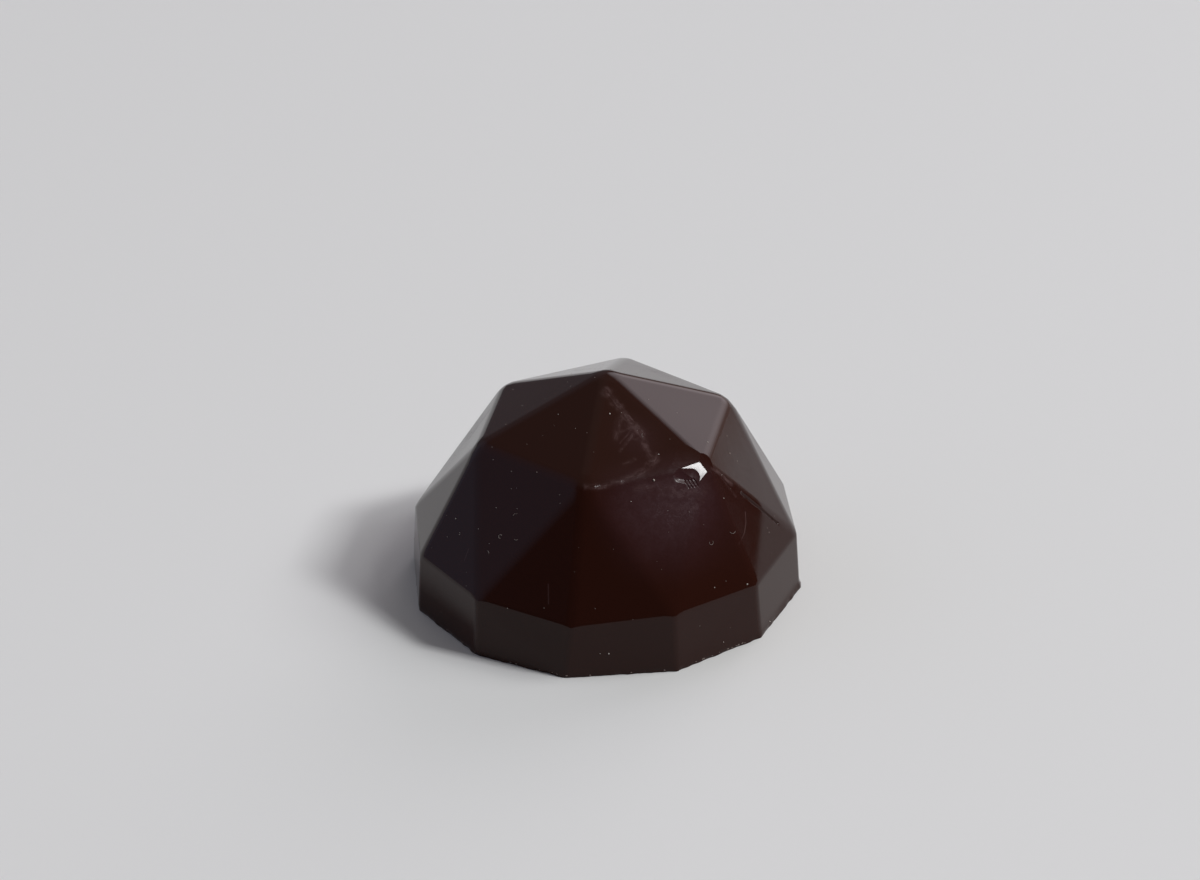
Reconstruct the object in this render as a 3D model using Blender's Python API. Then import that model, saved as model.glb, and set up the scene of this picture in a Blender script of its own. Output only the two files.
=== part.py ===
"""A moulded chocolate praline: a dome cut with flat facets like a rose-cut stone, on a flat foot.

Units are metres, +Z is up, and the origin is the middle of the flat foot.
The dome's corners lie on three level rings and one point. From the foot up these are the foot ring and
the belt ring, with twelve corners each, the crown ring, with six, and the tip.
"""

import math

import bmesh
import bpy
from mathutils import Matrix, Vector

MM = 0.001

# Driving sizes, measured between sharp corners.
FOOT_RADIUS = 14.5 * MM
BELT_RADIUS = 14.15 * MM
BELT_HEIGHT = 4.55 * MM
CROWN_RADIUS = 9.55 * MM
CROWN_HEIGHT = 12.85 * MM
TIP_HEIGHT = 16.9 * MM

# The crown ring has one corner above every second corner of the belt.
CROWN_CORNERS = 6
BELT_CORNERS = 2 * CROWN_CORNERS
FRONT = math.radians(-90.0)

# The mould's edges are a little round, so each ridge of the chocolate is too. The foot's edge is left
# sharp, because it is scraped level with the top of the mould.
RIDGE_WIDTH = 0.19 * MM
RIDGE_SEGMENTS = 4
FLAT_ANGLE = math.radians(1.0)

CHOCOLATE_COLOUR = (0.018, 0.0075, 0.0048, 1.0)
CHOCOLATE_ROUGHNESS = 0.12


def clear_scene():
    """Removes the objects that Blender starts with."""
    for thing in list(bpy.data.objects):
        bpy.data.objects.remove(thing, do_unlink=True)


def make_chocolate():
    """Tempered dark chocolate, glossy from the mould."""
    material = bpy.data.materials.new("dark_chocolate")
    material.use_nodes = True
    shader = material.node_tree.nodes["Principled BSDF"]
    shader.inputs["Base Color"].default_value = CHOCOLATE_COLOUR
    shader.inputs["Roughness"].default_value = CHOCOLATE_ROUGHNESS
    shader.inputs["Metallic"].default_value = 0.0
    return material


def ring(corners, radius, height):
    """The corners of one level ring, with the first at the front."""
    points = []
    for step in range(corners):
        angle = FRONT + math.tau * step / corners
        points.append(Vector((radius * math.cos(angle), radius * math.sin(angle), height)))
    return points


def cut_dome():
    """The sharp-edged dome: the tightest closed form round its rings and its tip."""
    shape = bmesh.new()
    corners = ring(BELT_CORNERS, FOOT_RADIUS, 0.0)
    corners += ring(BELT_CORNERS, BELT_RADIUS, BELT_HEIGHT)
    corners += ring(CROWN_CORNERS, CROWN_RADIUS, CROWN_HEIGHT)
    corners.append(Vector((0.0, 0.0, TIP_HEIGHT)))
    for corner in corners:
        shape.verts.new(corner)
    bmesh.ops.convex_hull(shape, input=shape.verts)
    bmesh.ops.dissolve_limit(
        shape, angle_limit=FLAT_ANGLE, verts=shape.verts, edges=shape.edges
    )
    bmesh.ops.recalc_face_normals(shape, faces=shape.faces)
    return shape


def round_ridges(shape):
    """Rounds every ridge that leaves the foot's plane."""
    ridges = [edge for edge in shape.edges if max(vert.co.z for vert in edge.verts) > 0.0]
    bmesh.ops.bevel(
        shape,
        geom=ridges,
        offset=RIDGE_WIDTH,
        offset_type="OFFSET",
        segments=RIDGE_SEGMENTS,
        profile=0.5,
        affect="EDGES",
        material=-1,
        clamp_overlap=True,
    )
    bmesh.ops.triangulate(shape, faces=shape.faces)


def make_praline(collection, chocolate):
    """The praline is one solid piece of moulded chocolate."""
    shape = cut_dome()
    round_ridges(shape)
    mesh = bpy.data.meshes.new("praline")
    shape.to_mesh(mesh)
    shape.free()
    mesh.materials.append(chocolate)
    mesh.shade_smooth()
    praline = bpy.data.objects.new("praline", mesh)
    praline.matrix_world = Matrix.Identity(4)
    collection.objects.link(praline)
    return praline


clear_scene()
parts = bpy.data.collections.new("chocolate_praline")
bpy.context.scene.collection.children.link(parts)
make_praline(parts, make_chocolate())
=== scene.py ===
"""A moulded dark chocolate praline on a pale floor, lit by one large window and soft fill.

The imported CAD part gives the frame: metres, +Z up, the origin in the middle of the flat foot.
"""

import math
import random

import bmesh
import bpy
from mathutils import Matrix, Vector, noise
from mathutils.bvhtree import BVHTree


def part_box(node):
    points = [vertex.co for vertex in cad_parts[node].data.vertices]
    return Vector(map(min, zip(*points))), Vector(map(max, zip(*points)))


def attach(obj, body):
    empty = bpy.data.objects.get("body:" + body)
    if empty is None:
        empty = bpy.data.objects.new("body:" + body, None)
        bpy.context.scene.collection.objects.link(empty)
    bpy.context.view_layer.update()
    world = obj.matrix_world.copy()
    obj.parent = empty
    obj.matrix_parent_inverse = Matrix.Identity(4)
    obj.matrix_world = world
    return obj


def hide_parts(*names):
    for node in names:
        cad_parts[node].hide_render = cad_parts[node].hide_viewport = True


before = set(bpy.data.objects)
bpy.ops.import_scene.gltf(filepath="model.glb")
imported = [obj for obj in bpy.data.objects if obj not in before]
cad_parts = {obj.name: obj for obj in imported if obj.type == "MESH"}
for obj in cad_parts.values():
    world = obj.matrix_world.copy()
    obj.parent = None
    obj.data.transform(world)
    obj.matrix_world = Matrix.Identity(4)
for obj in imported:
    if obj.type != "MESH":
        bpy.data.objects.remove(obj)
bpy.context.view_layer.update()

# ---------------------------------------------------------------------------------------------------
# The camera looks down at the front of the praline from a little to its right, through a long lens,
# so the facets keep their proportions. It aims above the middle, and leans by one degree.

MM = 0.001
low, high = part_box("praline")

TURN = math.radians(10.5)
CAMERA_RISE = math.radians(29.75)
CAMERA_LEAN = math.radians(-1.1)
CAMERA_DISTANCE = 300 * MM
LENS = 125.0
AIM_SHARE = 0.664
AIM_LEFT = 0.28 * MM

camera_turn = Matrix.Rotation(TURN, 3, "Z")
camera_tilt = Matrix.Rotation(math.radians(90) - CAMERA_RISE, 3, "X")
camera_axes = camera_turn @ camera_tilt
aim = camera_turn @ Vector((-AIM_LEFT, 0, 0)) + Vector((0, 0, AIM_SHARE * high.z))

camera_data = bpy.data.cameras.new("camera")
camera_data.lens = LENS
camera_data.sensor_width = 36.0
camera_data.clip_start = 10 * MM
camera = bpy.data.objects.new("camera", camera_data)
camera.location = aim + camera_axes @ Vector((0, 0, CAMERA_DISTANCE))
camera.rotation_euler = (camera_axes @ Matrix.Rotation(CAMERA_LEAN, 3, "Z")).to_euler()
bpy.context.scene.collection.objects.link(camera)
bpy.context.scene.camera = camera
bpy.context.scene.view_settings.view_transform = "Standard"

# ---------------------------------------------------------------------------------------------------
# The floor is a matt board, painted off-white. It ends within the room, so that the facets that lean
# outwards mirror the dark room over its far edge.

FLOOR_SIDE = 1.2


def linear(hex_colour):
    """An sRGB hex colour such as "#3A1C14" as linear red, green, blue and alpha."""
    shares = [int(hex_colour[place:place + 2], 16) / 255 for place in (1, 3, 5)]
    return [s / 12.92 if s <= 0.04045 else ((s + 0.055) / 1.055) ** 2.4 for s in shares] + [1.0]


def add_node(tree, kind, inputs, **settings):
    """Adds a node. Each input is a number or colour to set, or another node's socket to link."""
    made = tree.nodes.new(kind)
    for name, value in settings.items():
        setattr(made, name, value)
    for name, value in inputs.items():
        if isinstance(value, bpy.types.NodeSocket):
            tree.links.new(value, made.inputs[name])
        else:
            made.inputs[name].default_value = value
    return made


def new_material(name):
    """An empty node material and its tree."""
    material = bpy.data.materials.new(name)
    material.use_nodes = True
    material.node_tree.nodes.clear()
    return material, material.node_tree


shape = bmesh.new()
bmesh.ops.create_grid(shape, x_segments=1, y_segments=1, size=FLOOR_SIDE / 2)
floor_mesh = bpy.data.meshes.new("floor")
shape.to_mesh(floor_mesh)
shape.free()
floor = bpy.data.objects.new("floor", floor_mesh)
bpy.context.scene.collection.objects.link(floor)

floor_paint, tree = new_material("matt_white_paint")
paint = add_node(
    tree, "ShaderNodeBsdfPrincipled",
    {"Base Color": linear("#E6E7E7"), "Roughness": 0.7, "IOR": 1.45},
)
add_node(tree, "ShaderNodeOutputMaterial", {"Surface": paint.outputs["BSDF"]})
floor_mesh.materials.append(floor_paint)

# ---------------------------------------------------------------------------------------------------
# The light is one square window, high on the right. The room round it is dim: pale walls on the left and
# behind, a grey ceiling, and darkness behind the camera. Directions are turns to the right of the
# camera's side and rises above the floor, in degrees.


def towards(turn, rise):
    """The direction at a turn and a rise."""
    turn, rise = math.radians(turn), math.radians(rise)
    level = Vector((math.sin(turn), -math.cos(turn), 0)) * math.cos(rise)
    return camera_turn @ (level + Vector((0, 0, math.sin(rise))))


# The bright sky shows through the left side of the window. Each is a square of light, given by its
# turn, rise, distance, side and power.
for name, turn, rise, distance, side, power in (
    ("window", 94, 47, 2.5, 1.08, 18.0),
    ("sky_in_window", 73.5, 44.5, 2.45, 0.42, 29.0),
):
    light_data = bpy.data.lights.new(name, "AREA")
    light_data.shape = "SQUARE"
    light_data.size = side
    light_data.energy = power
    light = bpy.data.objects.new(name, light_data)
    light.location = towards(turn, rise) * distance
    light.rotation_euler = towards(turn, rise).to_track_quat("Z", "Y").to_euler()
    bpy.context.scene.collection.objects.link(light)

# Each wall is a soft patch of light: its turn, rise, reach, brightness and colour.
DARK_ROOM = 0.035
WALLS = (
    (150, 26, 26, 1.80, "#FFF8FF"),
    (147, 6, 24, 0.48, "#FFE2DA"),
    (180, 50, 36, 0.12, "#FFFFFF"),
    (-95, 15, 52, 0.39, "#D4DAFF"),
    (-155, 20, 42, 0.14, "#F4F0FF"),
    (0, 90, 48, 0.20, "#FFF4E6"),
)
SEEN_BEHIND = "#D0D1D1"

room = bpy.data.worlds.new("room")
room.use_nodes = True
tree = room.node_tree
tree.nodes.clear()
direction = add_node(tree, "ShaderNodeTexCoord", {}).outputs["Generated"]
glow = (DARK_ROOM, DARK_ROOM, DARK_ROOM)
for turn, rise, reach, brightness, colour in WALLS:
    facing = add_node(
        tree, "ShaderNodeVectorMath", {0: direction, 1: towards(turn, rise)}, operation="DOT_PRODUCT",
    )
    share = add_node(
        tree, "ShaderNodeMapRange",
        {
            "Value": facing.outputs["Value"], "To Max": brightness,
            "From Min": math.cos(math.radians(reach)), "From Max": math.cos(math.radians(reach / 3)),
        },
        interpolation_type="SMOOTHSTEP",
    )
    patch = add_node(
        tree, "ShaderNodeVectorMath", {0: linear(colour)[:3], "Scale": share.outputs["Result"]},
        operation="SCALE",
    )
    glow = add_node(
        tree, "ShaderNodeVectorMath", {0: glow, 1: patch.outputs["Vector"]}, operation="ADD",
    ).outputs["Vector"]
seen = add_node(tree, "ShaderNodeLightPath", {}).outputs["Is Camera Ray"]
backdrop = add_node(
    tree, "ShaderNodeMix", {0: seen, 6: glow, 7: linear(SEEN_BEHIND)}, data_type="RGBA",
)
sky = add_node(tree, "ShaderNodeBackground", {"Color": backdrop.outputs[2]})
add_node(tree, "ShaderNodeOutputWorld", {"Surface": sky.outputs["Background"]})
bpy.context.scene.world = room

# ---------------------------------------------------------------------------------------------------
# The praline is one solid piece of tempered dark chocolate. It was cast in a faceted mould, which left
# flat glossy facets between soft ridges, scraped level at its foot, and tapped out.

SIDES = 12
foot_radius = high.x
belt_radius = 0.978 * foot_radius
belt_height = 0.271 * high.z
crown_radius = 0.66 * foot_radius
crown_height = 0.765 * high.z
tip_height = 1.006 * high.z


def corner(step, radius, height):
    """A corner of the dome, so many twelfths of a turn to the right of its front."""
    return Matrix.Rotation(math.tau * step / SIDES, 3, "Z") @ Vector((0, -radius, height))


shape = bmesh.new()
for step in range(SIDES):
    shape.verts.new(corner(step, foot_radius, 0))
    shape.verts.new(corner(step, belt_radius, belt_height))
for step in range(0, SIDES, 2):
    shape.verts.new(corner(step, crown_radius, crown_height))
shape.verts.new((0, 0, tip_height))
bmesh.ops.convex_hull(shape, input=shape.verts)
bmesh.ops.dissolve_limit(shape, angle_limit=math.radians(1), verts=shape.verts, edges=shape.edges)
bmesh.ops.recalc_face_normals(shape, faces=shape.faces)

# A few corners came out of the mould slightly off their places. The shifts are to the right and up.
for place, right, up in (
    (corner(0, belt_radius, belt_height), 0.05, -0.5),
    (corner(0, foot_radius, 0), -0.4, 0),
    (corner(0, crown_radius, crown_height), 0.27, 0),
    (corner(0, 0, tip_height), 0.25, 0),
    (corner(2, crown_radius, crown_height), -0.15, -0.1),
    (corner(4, crown_radius, crown_height), 0.12, -0.1),
    (corner(-4, crown_radius, crown_height), 0, -0.3),
    (corner(2, belt_radius, belt_height), -0.14, -0.25),
):
    nearest = min(shape.verts, key=lambda vert: (vert.co - place).length)
    nearest.co += camera_turn @ Vector((right * MM, 0, up * MM))


def nearest_corner(step, radius, height):
    """Where a corner of the dome has come to lie."""
    place = corner(step, radius, height)
    return min(shape.verts, key=lambda vert: (vert.co - place).length).co.copy()


rubbed_corner = nearest_corner(2, crown_radius, crown_height)
bent_left = nearest_corner(2, belt_radius, belt_height)
bent_right = nearest_corner(3, belt_radius, belt_height)

RIDGE_WIDTH = 0.4 * MM
RIDGE_STEPS = 6
DOME_RIDGE, BELT_TOP, BELT_RIDGE, FOOT_EDGE = 1.0, 0.4, 0.6, 0.15
weights = shape.edges.layers.float.new("bevel_weight_edge")
for edge in shape.edges:
    lower, upper = sorted(vert.co.z for vert in edge.verts)
    if upper > 0.5 * (belt_height + crown_height):
        edge[weights] = DOME_RIDGE
    elif lower > 0.5 * belt_height:
        edge[weights] = BELT_TOP
    elif upper > 0.5 * belt_height:
        edge[weights] = BELT_RIDGE
    else:
        edge[weights] = FOOT_EDGE
sharp_mesh = bpy.data.meshes.new("sharp_dome")
shape.to_mesh(sharp_mesh)
sharp_dome = bpy.data.objects.new("sharp_dome", sharp_mesh)
bpy.context.scene.collection.objects.link(sharp_dome)
rounding = sharp_dome.modifiers.new("soft_ridges", "BEVEL")
rounding.width = RIDGE_WIDTH
rounding.segments = RIDGE_STEPS
rounding.limit_method = "WEIGHT"
shape.clear()
shape.from_object(sharp_dome, bpy.context.evaluated_depsgraph_get())
bpy.data.objects.remove(sharp_dome)

# A narrow ring inside each facet carries the turn of the shading into its ridges, so the facet stays flat.
# What is left of each facet is cut into triangles. The ridges stay strips of four-sided faces for now.
FACET_RING = 0.12 * MM
SMALLEST_FACET = 2 * MM * MM
facets = [face for face in shape.faces if face.calc_area() > SMALLEST_FACET]
bmesh.ops.inset_individual(shape, faces=facets, thickness=FACET_RING, use_even_offset=True)
facets = [face for face in shape.faces if face.calc_area() > SMALLEST_FACET]
bmesh.ops.triangulate(shape, faces=facets)

# Worn places are given by how far round to the right of the front they are, in degrees, and how high up,
# in millimetres.
smooth_dome = BVHTree.FromBMesh(shape)


def on_dome(turn, height):
    """The point of the dome at a turn and a height, and the way the dome faces there."""
    outwards = Matrix.Rotation(math.radians(turn), 3, "Z") @ Vector((0, -1, 0))
    place, facing, _, _ = smooth_dome.ray_cast(Vector((0, 0, height * MM)), outwards)
    return place, facing


# A place beyond a stroke's reach counts as this many half widths away from it.
FAR_OFF = 9
REACH_IN_HALF_WIDTHS = 3


class Stroke:
    """A straight mark on the dome, from one place to another, with its half width at each end.

    Its strength is how plainly it shows, up to 1. A stretch above 1 draws its texture out along it.
    """

    def __init__(self, start, end, start_width, end_width, strength=1, stretch=1):
        self.start, self.facing = on_dome(*start)
        self.end, _ = on_dome(*end)
        self.widths = start_width * MM, end_width * MM
        self.strength = strength
        self.stretch = stretch
        self.length = (self.end - self.start).length
        self.middle = (self.start + self.end) / 2
        self.reach = self.length / 2 + REACH_IN_HALF_WIDTHS * max(self.widths)
        self.along = (self.end - self.start).normalized()
        self.across = self.along.cross(self.facing)

    def offset(self, place):
        """How many half widths a place is from the stroke, and where it is along and across it."""
        if (place - self.middle).length > self.reach:
            return FAR_OFF, 0, 0
        from_start = place - self.start
        along = from_start.dot(self.along)
        share = min(max(along / self.length, 0), 1)
        away = (from_start - self.along * share * self.length).length
        half_width = self.widths[0] + (self.widths[1] - self.widths[0]) * share
        return away / half_width, along, from_start.dot(self.across)


# Broad hazy rubs, the finer lines in them, and the wisps that a cloth left below the rubbed corner. The
# last six are on the back and the sides.
SCUFFS = [
    Stroke((16, 16.15), (38, 14.2), 0.6, 0.75, 0.34, 8),
    Stroke((38, 14.2), (36.7, 13.1), 0.65, 0.35, 0.3, 4),
    Stroke((21, 16.0), (38, 14.5), 0.09, 0.09, 0.55, 12),
    Stroke((23, 16.0), (39, 14.4), 0.07, 0.08, 0.45, 12),
    Stroke((25.5, 16.0), (40.5, 14.4), 0.08, 0.09, 0.5, 12),
    Stroke((30, 15.9), (42, 14.2), 0.07, 0.09, 0.5, 12),
    Stroke((19, 14.3), (29, 15.0), 0.35, 0.55, 0.26, 5),
    Stroke((20.4, 13.8), (33, 14.3), 0.12, 0.2, 0.36, 8),
    Stroke((21.5, 14.1), (34, 14.5), 0.08, 0.12, 0.3, 8),
    Stroke((25, 14.5), (37, 14.6), 0.15, 0.3, 0.32, 8),
    Stroke((21, 13.3), (28, 13.4), 0.2, 0.25, 0.24, 5),
    Stroke((2.6, 12.65), (13, 12.55), 0.35, 0.3, 0.26, 4),
    Stroke((7, 12.6), (20, 12.65), 0.3, 0.36, 0.3, 5),
    Stroke((19, 12.65), (33, 12.95), 0.38, 0.5, 0.34, 4),
    Stroke((33, 12.95), (40, 13.3), 0.5, 0.5, 0.36, 2.5),
    Stroke((26, 12.0), (40, 11.8), 0.8, 0.9, 0.13, 3),
    Stroke((40, 11.6), (53, 10.9), 0.6, 0.5, 0.16, 5),
    Stroke((45, 11.5), (52, 10.4), 0.12, 0.12, 0.26, 10),
    Stroke((43, 11.4), (50, 10.3), 0.1, 0.12, 0.24, 10),
    Stroke((36, 10.9), (48, 10.3), 0.5, 0.5, 0.12, 4),
    Stroke((63, 12.1), (70, 10.4), 0.2, 0.3, 0.36, 8),
    Stroke((65.5, 11.2), (69, 9.6), 0.12, 0.2, 0.3, 8),
    Stroke((-168, 15.6), (-150, 13.9), 0.45, 0.6, 0.34, 7),
    Stroke((-165, 15.4), (-149, 14.1), 0.08, 0.09, 0.5, 12),
    Stroke((150, 11.6), (158, 10.2), 0.4, 0.5, 0.3, 6),
    Stroke((-100, 12.2), (-92, 10.4), 0.3, 0.4, 0.32, 6),
    Stroke((112, 9.4), (117, 7.9), 0.09, 0.1, 0.45, 10),
    Stroke((-128, 7.2), (-120, 8.0), 0.25, 0.35, 0.28, 6),
]
SCRATCHES = [
    Stroke((70.2, 8.36), (68.1, 7.86), 0.06, 0.07, 0.4),
    Stroke((68.1, 7.86), (64.7, 7.42), 0.07, 0.07, 0.4),
    Stroke((64.7, 7.42), (59.5, 7.12), 0.07, 0.05, 0.3),
    Stroke((-8.5, 6.4), (-7.6, 5.2), 0.06, 0.06, 0.5),
    Stroke((-41, 6.9), (-41, 6.1), 0.06, 0.06, 0.4),
]
GROOVE = Stroke((73.5, 9.4), (84.0, 6.1), 0.17, 0.14)
DENT = Stroke((46.6, 12.1), (50.7, 11.9), 0.74, 0.84)
TICKS = [Stroke((turn, 11.95), (turn + 0.35, 11.5), 0.1, 0.07) for turn in (48.0, 49.3, 50.6, 51.9)]

# The longest mesh edges in each kind of place, and how far round a mark they are kept, in half widths.
FINE_FACET = 0.6 * MM
FINE_SCUFF = 0.16 * MM
FINE_CORNER = 0.065 * MM
CORNER_REACH = 2.5 * MM
FINE_LINE = 0.07 * MM
FINE_TICK = 0.04 * MM
NARROW_SCUFF = 0.13 * MM
FINE_FOOT = 0.25 * MM
LINE_MARGIN = 2
SCUFF_MARGIN = 1.4
FOOT_EDGE_HEIGHT = 0.35 * MM
FOOT_EDGE_START = 0.9 * foot_radius


def edge_length(place):
    """How long a mesh edge may be at a place."""
    length = FINE_FACET
    if (place - rubbed_corner).length < CORNER_REACH:
        length = FINE_CORNER
        for stroke in TICKS:
            if stroke.offset(place)[0] < LINE_MARGIN:
                return FINE_TICK
    for stroke in SCRATCHES + [GROOVE]:
        if stroke.offset(place)[0] < LINE_MARGIN:
            return min(length, FINE_LINE)
    for stroke in SCUFFS:
        if stroke.offset(place)[0] < SCUFF_MARGIN:
            length = min(length, FINE_LINE if max(stroke.widths) < NARROW_SCUFF else FINE_SCUFF)
    if length < FINE_FACET:
        return length
    if place.z < FOOT_EDGE_HEIGHT and math.hypot(place.x, place.y) > FOOT_EDGE_START:
        return FINE_FOOT
    return FINE_FACET


# Each round halves the edges that are too long. Strips of four-sided faces are cut straight across, and
# only faces with more sides are cut into triangles, so that no long thin triangles pile up.
MOST_ROUNDS = 10
settled = shape.edges.layers.int.new("settled")
for _ in range(MOST_ROUNDS):
    long_edges = []
    for edge in shape.edges:
        length = edge.calc_length()
        if edge[settled] and length < FINE_FACET:
            continue
        start, end = (vert.co for vert in edge.verts)
        if length > FINE_TICK and length > min(
            edge_length(start.lerp(end, share)) for share in (0, 0.5, 1)
        ):
            long_edges.append(edge)
        else:
            edge[settled] = 1
    if not long_edges:
        break
    bmesh.ops.subdivide_edges(
        shape, edges=long_edges, cuts=1, use_grid_fill=True, use_single_edge=True,
    )
    bmesh.ops.triangulate(shape, faces=[face for face in shape.faces if len(face.verts) > 4])
bmesh.ops.triangulate(shape, faces=[face for face in shape.faces if len(face.verts) > 3])


def fade(distance, reach):
    """Falls smoothly from 1 in the middle to 0 at the reach."""
    share = min(1, distance / reach)
    return 1 - share * share * (3 - 2 * share)


# The corner towards the window has been rubbed down, to one small flat with three lesser ones round it.
# Each flat has the way that it faces, as a turn and a rise, and its depth. Its edges are crisp.
RUBBED_FLATS = ((31.5, 43.3, 0.29), (31.1, 59.3, 0.23), (53.7, 46.1, 0.337), (38.4, 32.6, 0.166))
for turn, rise, depth in RUBBED_FLATS:
    rubbed_facing = towards(turn, rise)
    cut = bmesh.ops.bisect_plane(
        shape, geom=shape.verts[:] + shape.edges[:] + shape.faces[:], dist=0.001 * MM,
        plane_co=rubbed_corner - rubbed_facing * depth * MM, plane_no=rubbed_facing,
    )["geom_cut"]
    for part in cut:
        if isinstance(part, bmesh.types.BMEdge):
            part.smooth = False
    bmesh.ops.triangulate(shape, faces=[face for face in shape.faces if len(face.verts) > 3])
    for vert in shape.verts:
        vert.co -= rubbed_facing * max(0, depth * MM + rubbed_facing.dot(vert.co - rubbed_corner))

# The dent slopes in gently from above and steeply from below, where its slope is this much shorter.
DENT_DEPTH = 0.1 * MM
DENT_STEEP_SIDE = 0.38
DENT_CURVE = 1.5


def scooped(place):
    """How deep the dent is at a place, from 0 to 1."""
    widths_away, along, across = DENT.offset(place)
    if widths_away >= 1:
        return 0
    share = min(max(along / DENT.length, 0), 1)
    straight_down = across / math.hypot(across, along - share * DENT.length, 1e-9)
    reach = 1 - (1 - DENT_STEEP_SIDE) * (1 + straight_down) / 2
    return 1 - min(1, widths_away / reach) ** DENT_CURVE


# Chocolate shrinks as it sets, so each facet is a little uneven. The facet on the right is bent as well,
# along a line from its lower left corner to the groove on its upper ridge.
WAVE_LENGTH = 7 * MM
WAVE_DEPTH = 0.02 * MM
WAVE_START = Vector((3.7, 1.2, 0))
LEVEL_HEIGHT = 0.5 * MM
BEND = 0.026
BEND_WIDTH = 0.35 * MM
BEND_SHARE = 0.6
GROOVE_DEPTH = 0.09 * MM
TICK_DEPTH = 0.045 * MM
RAG_LENGTH = 0.7 * MM
RAG_DEPTH = 0.12 * MM
RAG_LEVEL = 0.4
RAG_START = 0.95 * foot_radius
HOLLOW_DEPTH = 0.12 * MM
HOLLOW_RADIUS = 0.93 * foot_radius
FACES_DOWN = -0.9
bend_line = (rubbed_corner.lerp(bent_right, BEND_SHARE) - bent_left).normalized()
bent_facing = (bent_right - bent_left).cross(rubbed_corner - bent_left).normalized()
bend_way = bend_line.cross(bent_facing)
shape.normal_update()
shifts = []
for vert in shape.verts:
    above_foot = min(1, vert.co.z / LEVEL_HEIGHT)
    shift = WAVE_DEPTH * noise.noise(vert.co / WAVE_LENGTH + WAVE_START) * above_foot
    past_bend = (vert.co - bent_left).dot(bend_way)
    past_bend = (past_bend + math.hypot(past_bend, BEND_WIDTH)) / 2
    shift -= BEND * past_bend * max(0, vert.normal.dot(bent_facing)) * above_foot
    shift -= DENT_DEPTH * scooped(vert.co)
    shift -= GROOVE_DEPTH * fade(GROOVE.offset(vert.co)[0], 1)
    for tick in TICKS:
        shift -= TICK_DEPTH * fade(tick.offset(vert.co)[0], 1)
    shifts.append(vert.normal * shift)

    # The scraper left the foot's edge a little ragged, and its middle slightly hollow.
    from_axis = Vector((vert.co.x, vert.co.y, 0))
    edge_share = fade(vert.co.z, FOOT_EDGE_HEIGHT) * fade(max(0, RAG_START - from_axis.length), MM)
    ragged = noise.noise(vert.co / RAG_LENGTH) - RAG_LEVEL
    shifts[-1] += from_axis.normalized() * RAG_DEPTH * min(0, ragged) * edge_share
    if vert.normal.z < FACES_DOWN:
        shifts[-1].z += HOLLOW_DEPTH * fade(from_axis.length, HOLLOW_RADIUS)
for vert, shift in zip(shape.verts, shifts):
    vert.co += shift

for face in shape.faces:
    face.material_index = 1 if face.normal.z < FACES_DOWN else 0
    face.smooth = True
praline_mesh = bpy.data.meshes.new("praline_body")
shape.to_mesh(praline_mesh)
shape.free()
body = bpy.data.objects.new("praline_body", praline_mesh)
bpy.context.scene.collection.objects.link(body)

# Handling has left a soft bloom on one facet, and scuffs. The bloom's colour is partly painted sheen, the
# window light that its dulled gloss spreads. The mesh carries how strong each one is, and for the scuffs
# which way they run.
SMUDGES_AND_SHEEN = [
    (on_dome(turn, height)[0], reach * MM, strength)
    for turn, height, reach, strength in (
        (35, 10.2, 5.8, 0.63), (47, 11.2, 3.6, 0.55), (20, 11.6, 3.4, 0.28), (57, 9.0, 5.0, 0.14),
        (36, 14.2, 2.6, 0.25), (-158, 9.5, 4.8, 0.5), (155, 13.6, 3.2, 0.35), (-98, 10.5, 4.2, 0.4),
        (118, 9.0, 4.0, 0.35),
    )
]
FRAY_SHARE = 0.5
FRAY_LENGTH = 0.6 * MM
smudge_and_sheen_data = praline_mesh.attributes.new("smudge_and_sheen", "FLOAT", "POINT").data
scuff_data = praline_mesh.attributes.new("scuff", "FLOAT", "POINT").data
scratch_data = praline_mesh.attributes.new("scratch", "FLOAT", "POINT").data
grain_data = praline_mesh.attributes.new("grain", "FLOAT_VECTOR", "POINT").data
for vert in praline_mesh.vertices:
    clear = 1
    for middle, reach, strength in SMUDGES_AND_SHEEN:
        clear *= 1 - strength * fade((vert.co - middle).length, reach)
    smudge_and_sheen_data[vert.index].value = 1 - clear
    scuff = 0
    grain = Vector((0, 0, 0))
    fray = FRAY_SHARE * noise.noise_vector(vert.co / FRAY_LENGTH)
    for number, stroke in enumerate(SCUFFS):
        widths_away, along, across = stroke.offset(vert.co + fray * stroke.widths[0])
        strength = stroke.strength * fade(widths_away, 1)
        if strength > scuff:
            scuff = strength
            grain = Vector((along / stroke.stretch, across, number * 10 * MM))
    scuff_data[vert.index].value = scuff
    scratch_data[vert.index].value = max(
        scratch.strength * fade(scratch.offset(vert.co)[0], 1) for scratch in SCRATCHES
    )
    grain_data[vert.index].vector = grain

# Tempered dark chocolate, set against polished plastic: near-black brown, with a thin clear gloss. The
# bloom and the scuffs are cocoa butter crystals, which scatter light and look grey and dull. The bloom's
# grey-lilac colour is partly painted sheen: the window light that its dulled gloss spreads over the facet.
# Cocoa butter has an IOR of 1.46, but the gloss is slightly hazy and mirrors less, as a lower one does.
# Each pattern's scale is PER_MM over the size of its patches in millimetres.
PER_MM = 1000
CHOCOLATE_IOR = 1.30
SCRATCH_SHARE = 0.5
BLOOM_DULLING = 0.28
WEAR_DULLING = 0.3
chocolate, tree = new_material("tempered_dark_chocolate")
place = add_node(tree, "ShaderNodeTexCoord", {}).outputs["Object"]
smudge_and_sheen = add_node(tree, "ShaderNodeAttribute", {}, attribute_name="smudge_and_sheen").outputs["Fac"]
scuff = add_node(tree, "ShaderNodeAttribute", {}, attribute_name="scuff").outputs["Fac"]
scratch = add_node(tree, "ShaderNodeAttribute", {}, attribute_name="scratch").outputs["Fac"]
grain = add_node(tree, "ShaderNodeAttribute", {}, attribute_name="grain").outputs["Vector"]

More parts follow.
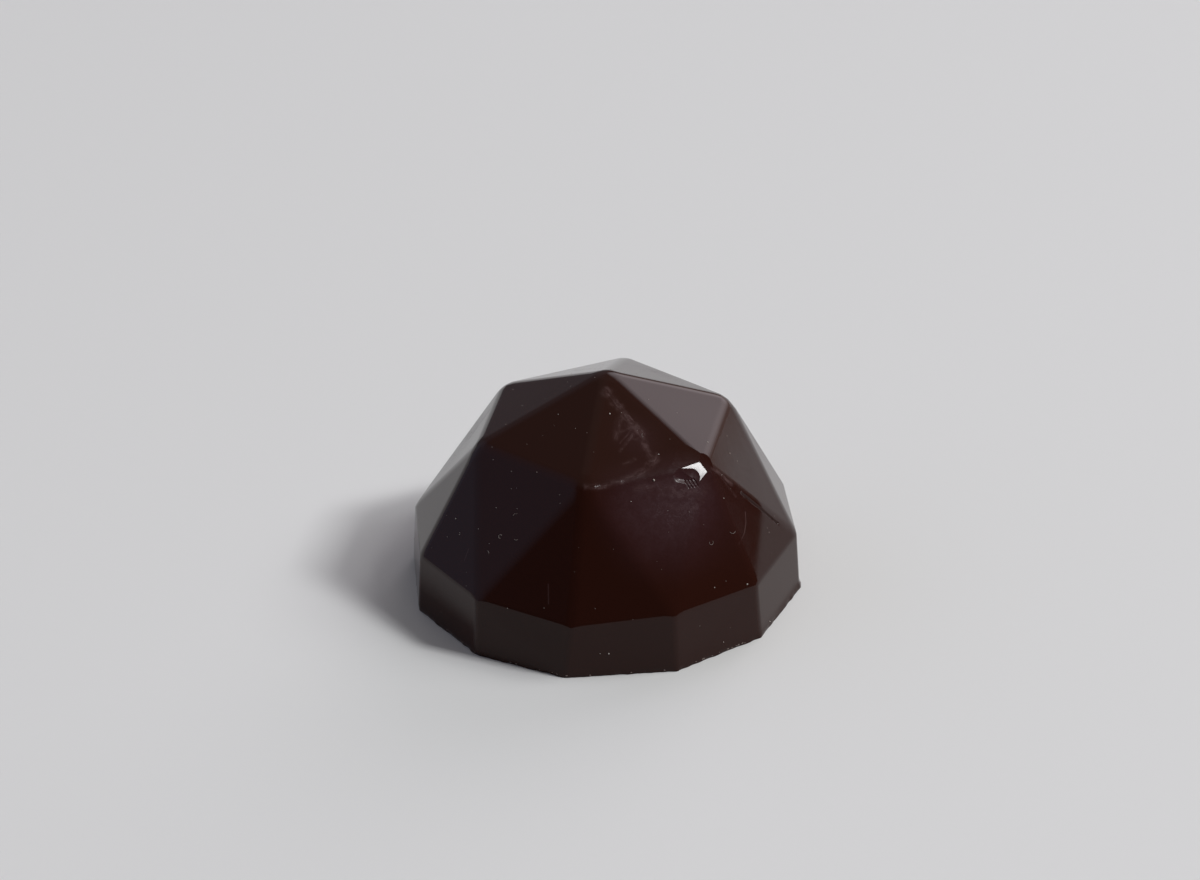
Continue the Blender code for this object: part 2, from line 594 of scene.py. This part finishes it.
streaks = add_node(
    tree, "ShaderNodeTexNoise",
    {"Vector": grain, "Scale": PER_MM / 0.3, "Detail": 3.0, "Roughness": 0.65, "Distortion": 0.4},
)
streaked = add_node(
    tree, "ShaderNodeMapRange",
    {"Value": streaks.outputs["Fac"], "From Min": 0.36, "From Max": 0.66, "To Min": 0.2},
    interpolation_type="SMOOTHSTEP",
)
# Scuffs come and go along their length, over about half a millimetre.
patches = add_node(
    tree, "ShaderNodeTexNoise", {"Vector": place, "Scale": PER_MM / 0.55, "Detail": 2.0, "Distortion": 0.6},
)
patchy = add_node(
    tree, "ShaderNodeMapRange",
    {"Value": patches.outputs["Fac"], "From Min": 0.36, "From Max": 0.6, "To Min": 0.3},
)
patchy_scuff = add_node(
    tree, "ShaderNodeMath", {0: patchy.outputs["Result"], 1: scuff}, operation="MULTIPLY",
)
streaked_scuff = add_node(
    tree, "ShaderNodeMath", {0: streaked.outputs["Result"], 1: patchy_scuff.outputs["Value"]},
    operation="MULTIPLY",
)
faint_scratch = add_node(tree, "ShaderNodeMath", {0: scratch, 1: SCRATCH_SHARE}, operation="MULTIPLY")
worn = add_node(
    tree, "ShaderNodeMath", {0: streaked_scuff.outputs["Value"], 1: faint_scratch.outputs["Value"]},
    operation="MAXIMUM",
).outputs["Value"]

clouds = add_node(
    tree, "ShaderNodeTexNoise",
    {"Vector": place, "Scale": PER_MM / 1.6, "Detail": 5.0, "Roughness": 0.6, "Distortion": 1.2},
)
clouded = add_node(
    tree, "ShaderNodeMapRange",
    {"Value": clouds.outputs["Fac"], "From Min": 0.3, "From Max": 0.7, "To Min": 0.78, "To Max": 1.08},
)
swirls = add_node(
    tree, "ShaderNodeTexNoise",
    {"Vector": place, "Scale": PER_MM / 0.45, "Detail": 3.0, "Roughness": 0.6, "Distortion": 2.5},
)
swirled = add_node(
    tree, "ShaderNodeMapRange",
    {"Value": swirls.outputs["Fac"], "From Min": 0.35, "From Max": 0.65, "To Min": 0.8, "To Max": 1.14},
)
mixed_bloom_and_sheen = add_node(
    tree, "ShaderNodeMath", {0: swirled.outputs["Result"], 1: clouded.outputs["Result"]},
    operation="MULTIPLY",
)
bloom_and_sheen = add_node(
    tree, "ShaderNodeMath", {0: smudge_and_sheen, 1: mixed_bloom_and_sheen.outputs["Value"]}, operation="MULTIPLY",
).outputs["Value"]

# Painted sheen: the bloom's grey-lilac stands partly for window light spread by its dulled gloss.
bloom_and_sheen_colour = add_node(
    tree, "ShaderNodeMix", {0: bloom_and_sheen, 6: linear("#2A120C"), 7: linear("#3F282D")}, data_type="RGBA",
)
colour = add_node(
    tree, "ShaderNodeMix", {0: worn, 6: bloom_and_sheen_colour.outputs[2], 7: linear("#765E5E")}, data_type="RGBA",
)
mottled = add_node(
    tree, "ShaderNodeMapRange",
    {"Value": clouds.outputs["Fac"], "From Min": 0.3, "From Max": 0.7, "To Min": 0.05, "To Max": 0.1},
)
dulled = add_node(
    tree, "ShaderNodeMath", {0: bloom_and_sheen, 1: BLOOM_DULLING, 2: mottled.outputs["Result"]},
    operation="MULTIPLY_ADD",
)
roughness = add_node(
    tree, "ShaderNodeMath", {0: worn, 1: WEAR_DULLING, 2: dulled.outputs["Value"]},
    operation="MULTIPLY_ADD",
)
bump = add_node(
    tree, "ShaderNodeBump", {"Height": worn, "Distance": 0.006 * MM, "Strength": 1.0},
)
gloss = add_node(
    tree, "ShaderNodeBsdfPrincipled",
    {
        "Base Color": colour.outputs[2], "Roughness": roughness.outputs["Value"], "IOR": CHOCOLATE_IOR,
        "Normal": bump.outputs["Normal"],
    },
)
add_node(tree, "ShaderNodeOutputMaterial", {"Surface": gloss.outputs["BSDF"]})

# The foot was scraped level with a steel blade while soft, which leaves it dull, with fine straight lines.
scraped, tree = new_material("scraped_dark_chocolate")
place = add_node(tree, "ShaderNodeTexCoord", {}).outputs["Object"]
lines_place = add_node(tree, "ShaderNodeVectorMath", {0: place, 1: (0.05, 1.0, 1.0)}, operation="MULTIPLY")
lines = add_node(
    tree, "ShaderNodeTexNoise",
    {"Vector": lines_place.outputs["Vector"], "Scale": PER_MM / 0.35, "Detail": 3.0},
)
bump = add_node(
    tree, "ShaderNodeBump", {"Height": lines.outputs["Fac"], "Distance": 0.05 * MM, "Strength": 0.6},
)
dull = add_node(
    tree, "ShaderNodeBsdfPrincipled",
    {
        "Base Color": linear("#371C14"), "Roughness": 0.45, "IOR": CHOCOLATE_IOR,
        "Normal": bump.outputs["Normal"],
    },
)
add_node(tree, "ShaderNodeOutputMaterial", {"Surface": dull.outputs["BSDF"]})

praline_mesh.materials.append(chocolate)
praline_mesh.materials.append(scraped)
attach(body, "root")
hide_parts("praline")

# ---------------------------------------------------------------------------------------------------
# Dust has settled on the chocolate: pale specks of lint and skin, each a tiny ball. The larger ones that
# show on the front are listed one by one, and the rest lie anywhere.

smooth_dome = BVHTree.FromPolygons(
    [vert.co for vert in praline_mesh.vertices], [face.vertices for face in praline_mesh.polygons],
)
chance = random.Random(12)


def lie_at(turn, height, roll, sunk):
    """The frame of something lying on the dome: its Z faces outwards, and it sinks in by a depth."""
    place, facing = on_dome(turn, height)
    lean = facing.to_track_quat("Z", "Y").to_matrix().to_4x4()
    return Matrix.Translation(place - facing * sunk) @ lean @ Matrix.Rotation(roll, 4, "Z")


def finish_dirt(shape, name, material):
    """Makes a piece of dirt that rides on the praline."""
    mesh = bpy.data.meshes.new(name)
    shape.to_mesh(mesh)
    shape.free()
    mesh.shade_smooth()
    mesh.materials.append(material)
    piece = bpy.data.objects.new(name, mesh)
    bpy.context.scene.collection.objects.link(piece)
    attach(piece, "root")


LARGE_SPECKS = (
    (34, 12.35, 0.1), (17.9, 15.25, 0.065), (-52.7, 8.0, 0.07), (66.5, 0.4, 0.06), (46.6, 0.9, 0.05),
    (10.7, 1.8, 0.06), (84.6, 11.3, 0.06), (56.8, 4.6, 0.06), (74, 12.9, 0.05), (42.5, 13.4, 0.05),
    (86, 10.6, 0.04), (-48, 7.4, 0.045), (-24, 12.6, 0.04), (61.5, 10.1, 0.045), (45.5, 5.2, 0.05),
)
# The small specks' radii and heights are in millimetres. A crowding below 1 puts more of them high up.
SPECK_COUNT = 130
SMALL_SPECK, MIDDLING_SPECK = 0.015, 0.034
LOWEST_SPECK, SPECK_SPAN = 0.3, 16.2
SPECK_CROWDING = 0.8
SPECK_FLATNESS = 0.7
SPECK_RAISED = 0.3
shape = bmesh.new()
specks = list(LARGE_SPECKS)
for _ in range(SPECK_COUNT):
    turn = chance.uniform(-180, 180)
    height = SPECK_SPAN * chance.random() ** SPECK_CROWDING + LOWEST_SPECK
    specks.append((turn, height, chance.uniform(SMALL_SPECK, MIDDLING_SPECK)))
for turn, height, radius in specks:
    flattened = Matrix.Diagonal((1, chance.uniform(0.6, 1), SPECK_FLATNESS, 1))
    lying = lie_at(turn, height, chance.uniform(0, math.tau), -SPECK_RAISED * radius * MM)
    bmesh.ops.create_icosphere(shape, subdivisions=1, radius=radius * MM, matrix=lying @ flattened)

# Lint and skin dust: dry, pale and quite matt, so each speck shows as a point on the dark gloss.
dust, tree = new_material("pale_dust")
place = add_node(tree, "ShaderNodeTexCoord", {}).outputs["Object"]
mixture = add_node(tree, "ShaderNodeTexNoise", {"Vector": place, "Scale": PER_MM / 1.5, "Detail": 1.0})
mixed = add_node(
    tree, "ShaderNodeMapRange", {"Value": mixture.outputs["Fac"], "From Min": 0.4, "From Max": 0.6},
)
colour = add_node(
    tree, "ShaderNodeMix", {0: mixed.outputs["Result"], 6: linear("#8E8078"), 7: linear("#CCC5BE")},
    data_type="RGBA",
)
powder = add_node(
    tree, "ShaderNodeBsdfPrincipled", {"Base Color": colour.outputs[2], "Roughness": 0.85, "IOR": 1.45},
)
add_node(tree, "ShaderNodeOutputMaterial", {"Surface": powder.outputs["BSDF"]})
finish_dirt(shape, "dust_specks", dust)

# ---------------------------------------------------------------------------------------------------
# A few short fibres of lint cling to the facets, curled as they fell. Each is a thin round thread, bent
# into an arc.

FIBRE_RADIUS = 0.014
FIBRE_SIDES = 5
DEGREES_A_STEP = 15
FIBRES = (
    (59.3, 8.15, 0.3, 120, 192), (49.5, 7.9, 0.16, 235, 150), (-30.3, 8.4, 0.14, 270, 40),
    (-27.2, 9.8, 0.18, 110, 80), (-23.7, 8.75, 0.26, 70, 250), (-33, 7.2, 0.2, 80, 10),
    (41.5, 14.2, 0.2, 100, 120), (128, 9.5, 0.35, 160, 30), (-140, 6.5, 0.3, 120, 220),
)
shape = bmesh.new()
for turn, height, bend_radius, bend, roll in FIBRES:
    ring = bmesh.ops.create_circle(
        shape, segments=FIBRE_SIDES, radius=FIBRE_RADIUS * MM,
        matrix=Matrix.Translation((bend_radius * MM, 0, 0)) @ Matrix.Rotation(math.radians(90), 4, "X"),
    )["verts"]
    ring_edges = list({edge for vert in ring for edge in vert.link_edges})
    arc = bmesh.ops.spin(
        shape, geom=ring + ring_edges, axis=(0, 0, 1), angle=math.radians(bend),
        steps=max(5, bend // DEGREES_A_STEP), cent=(0, 0, 0),
    )["geom_last"]
    thread = set(ring)
    grown = list(ring)
    while grown:
        near = {edge.other_vert(vert) for vert in grown for edge in vert.link_edges} - thread
        thread |= near
        grown = list(near)
    for rim in (ring_edges, [part for part in arc if isinstance(part, bmesh.types.BMEdge)]):
        bmesh.ops.edgeloop_fill(shape, edges=rim)
    lying = lie_at(turn, height, math.radians(roll), -0.5 * FIBRE_RADIUS * MM)
    bmesh.ops.transform(shape, matrix=lying, verts=list(thread))
bmesh.ops.recalc_face_normals(shape, faces=shape.faces)

# Cotton and polyester lint: off-white, shaded grey by the dark gloss it lies on, with a slight sheen that
# catches the window along each thread.
lint, tree = new_material("cotton_lint")
place = add_node(tree, "ShaderNodeTexCoord", {}).outputs["Object"]
twist = add_node(tree, "ShaderNodeTexNoise", {"Vector": place, "Scale": PER_MM / 0.15, "Detail": 1.0})
shaded = add_node(
    tree, "ShaderNodeMix", {0: twist.outputs["Fac"], 6: linear("#584C47"), 7: linear("#9C918B")},
    data_type="RGBA",
)
thread_shader = add_node(
    tree, "ShaderNodeBsdfPrincipled", {"Base Color": shaded.outputs[2], "Roughness": 0.4, "IOR": 1.5},
)
add_node(tree, "ShaderNodeOutputMaterial", {"Surface": thread_shader.outputs["BSDF"]})
finish_dirt(shape, "lint_fibres", lint)

# ---------------------------------------------------------------------------------------------------
# Scraping the foot left crumbs of chocolate along its edge. They are small flat flakes, dull and paler
# than the gloss, and they lie closest together on the front right. Their paleness is partly painted glint,
# the window light that the tiny flakes catch.

shape = bmesh.new()
FLAKE_COUNT, FRONT_FLAKES = 64, 18
FRONT_TURN, FRONT_SPREAD = 48, 6
FLAKE_SHAPE = Matrix.Diagonal((1.6, 1, 0.5, 1))
BREAK_LENGTH = 0.08 * MM
BREAK_DEPTH = 0.3
for number in range(FLAKE_COUNT):
    turn = chance.gauss(FRONT_TURN, FRONT_SPREAD) if number < FRONT_FLAKES else chance.uniform(-180, 180)
    size = chance.uniform(0.03, 0.07) * MM
    lying = lie_at(turn, chance.uniform(0.1, 0.22), chance.uniform(-0.4, 0.4), 0)
    flake = bmesh.ops.create_icosphere(
        shape, subdivisions=1, radius=size, matrix=lying @ FLAKE_SHAPE,
    )["verts"]
    for vert in flake:
        vert.co += noise.noise_vector(vert.co / BREAK_LENGTH) * BREAK_DEPTH * size

# Broken chocolate: no gloss from the mould, so a dull, paler brown with a rough grain. The paler grains
# are painted glints of the window light that the flakes catch.
crumb_and_glint, tree = new_material("chocolate_crumb_and_glint")
place = add_node(tree, "ShaderNodeTexCoord", {}).outputs["Object"]
grit = add_node(tree, "ShaderNodeTexNoise", {"Vector": place, "Scale": PER_MM / 0.1, "Detail": 2.0})
# Painted glint: the pale end of this mix stands for window light caught by the flakes.
grit_and_glint = add_node(
    tree, "ShaderNodeMix", {0: grit.outputs["Fac"], 6: linear("#4A3833"), 7: linear("#9A8C86")},
    data_type="RGBA",
)
crumb_shader = add_node(
    tree, "ShaderNodeBsdfPrincipled", {"Base Color": grit_and_glint.outputs[2], "Roughness": 0.7, "IOR": 1.45},
)
add_node(tree, "ShaderNodeOutputMaterial", {"Surface": crumb_shader.outputs["BSDF"]})
finish_dirt(shape, "foot_crumbs", crumb_and_glint)
